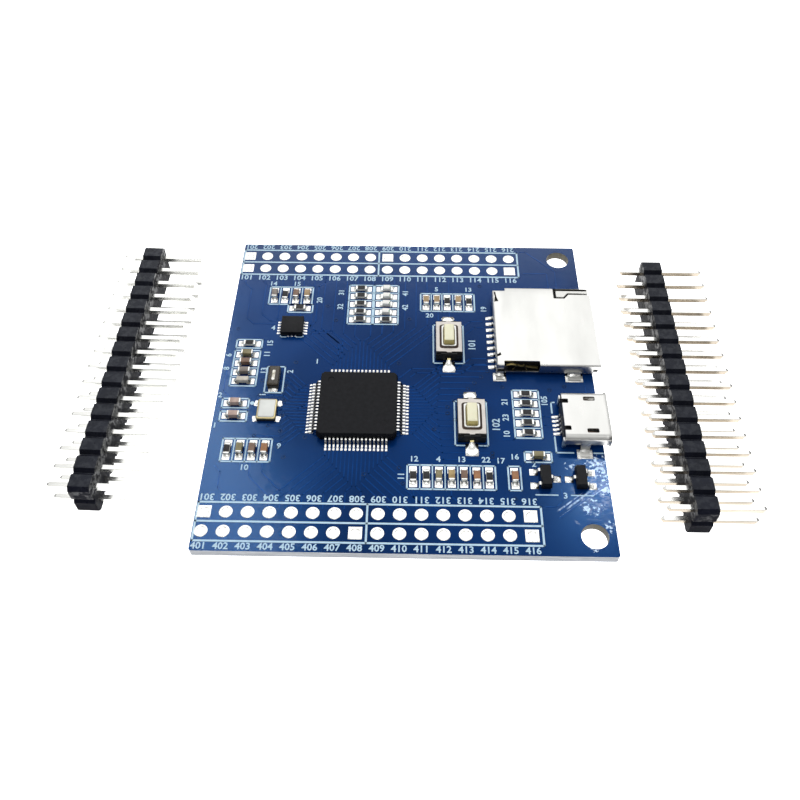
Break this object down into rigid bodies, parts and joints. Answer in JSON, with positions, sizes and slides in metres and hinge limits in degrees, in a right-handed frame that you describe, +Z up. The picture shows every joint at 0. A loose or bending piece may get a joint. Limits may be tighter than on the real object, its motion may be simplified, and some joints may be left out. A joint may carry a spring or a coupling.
{
  "type": "microcontroller development board",
  "caption": "Small controller board with pin header holes, card and USB sockets, push buttons and status lights, with two loose pin header strips.",
  "frame": {"origin": "centre of the board outline on the board's underside", "axes": "+Z up out of the component side, +X towards the end with the USB and card sockets, +Y away from the front row of header holes"},
  "size_m": [0.0827, 0.0508, 0.0051],
  "materials": {
    "solder_mask": "glossy blue solder mask over glass-epoxy board",
    "mould": "matt dark moulding compound",
    "tin": "bright tin plate and solder",
    "gold": "gold flash on ceramic rim",
    "steel": "bright stamped stainless steel",
    "ceramic_tan": "fired ceramic chip parts with tinned ends",
    "resistor_black": "black glazed chip resistor with tinned ends",
    "led_lens": "clear cast lens over a white carrier",
    "ivory": "ivory moulded plunger",
    "nylon_black": "black glass-filled nylon",
    "white_plastic": "white moulded slider",
    "brass": "brass spring strip, tinned feet",
    "header_black": "black moulded header plastic"
  },
  "bodies": {
    "board": {"card_cam_pin": "steel", "card_contacts": "tin", "card_cover": "steel", "card_detect_spring": "brass", "card_housing": "nylon_black", "card_resistors": "resistor_black", "card_spring": "steel", "clock_crystal_base": "mould", "clock_crystal_lid": "steel", "core_bank": "ceramic_tan", "crystal_base": "gold", "crystal_capacitors": "ceramic_tan", "crystal_lid": "steel", "filter_bank": "ceramic_tan", "header_bank": "ceramic_tan", "led_1": "led_lens", "led_2": "led_lens", "led_3": "led_lens", "led_4": "led_lens", "led_resistors": "resistor_black", "mcu_body": "mould", "mcu_leadframe": "tin", "pcb": "solder_mask", "power_bank": "ceramic_tan", "regulator_body": "mould", "regulator_capacitor": "ceramic_tan", "regulator_leads": "tin", "reset_resistor": "resistor_black", "rst_back_lead": "brass", "rst_base": "nylon_black", "rst_cover": "steel", "rst_dome": "steel", "rst_front_lead": "brass", "sensor_body": "mould", "sensor_leadframe": "tin", "sensor_resistor": "resistor_black", "shunt_reference_body": "mould", "shunt_reference_leads": "tin", "supply_capacitors": "ceramic_tan", "usb_capacitor": "ceramic_tan", "usb_contacts": "tin", "usb_insulator": "nylon_black", "usb_shell": "steel", "usr_back_lead": "brass", "usr_base": "nylon_black", "usr_cover": "steel", "usr_dome": "steel", "usr_front_lead": "brass"},
    "usr_button": {"usr_plunger": "ivory"},
    "rst_button": {"rst_plunger": "ivory"},
    "card_slider": {"card_slider": "white_plastic"},
    "right_header": {"right_header_block": "header_black", "right_header_pins": "tin"},
    "left_header": {"left_header_block": "header_black", "left_header_pins": "tin"}
  },
  "joints": [
    {"name": "usr_press", "type": "slide", "parent": "board", "child": "usr_button", "axis": [0, 0, -1], "range_m": [0, 0.00025], "stiffness_N_per_m": 150, "springref_m": -0.0001, "deforming": ["usr_dome"]},
    {"name": "rst_press", "type": "slide", "parent": "board", "child": "rst_button", "axis": [0, 0, -1], "range_m": [0, 0.00025], "stiffness_N_per_m": 150, "springref_m": -0.0001, "deforming": ["rst_dome"]},
    {"name": "card_push", "type": "slide", "parent": "board", "child": "card_slider", "axis": [-1, 0, 0], "range_m": [0, 0.0012], "stiffness_N_per_m": 60, "springref_m": -0.0005, "deforming": ["card_spring"]},
    {"name": "right_header_shift", "type": "slide", "parent": "board", "child": "right_header", "axis": [1, 0, 0], "range_m": [-0.003, 0.02]},
    {"name": "left_header_shift", "type": "slide", "parent": "board", "child": "left_header", "axis": [-1, 0, 0], "range_m": [-0.003, 0.02]}
  ]
}
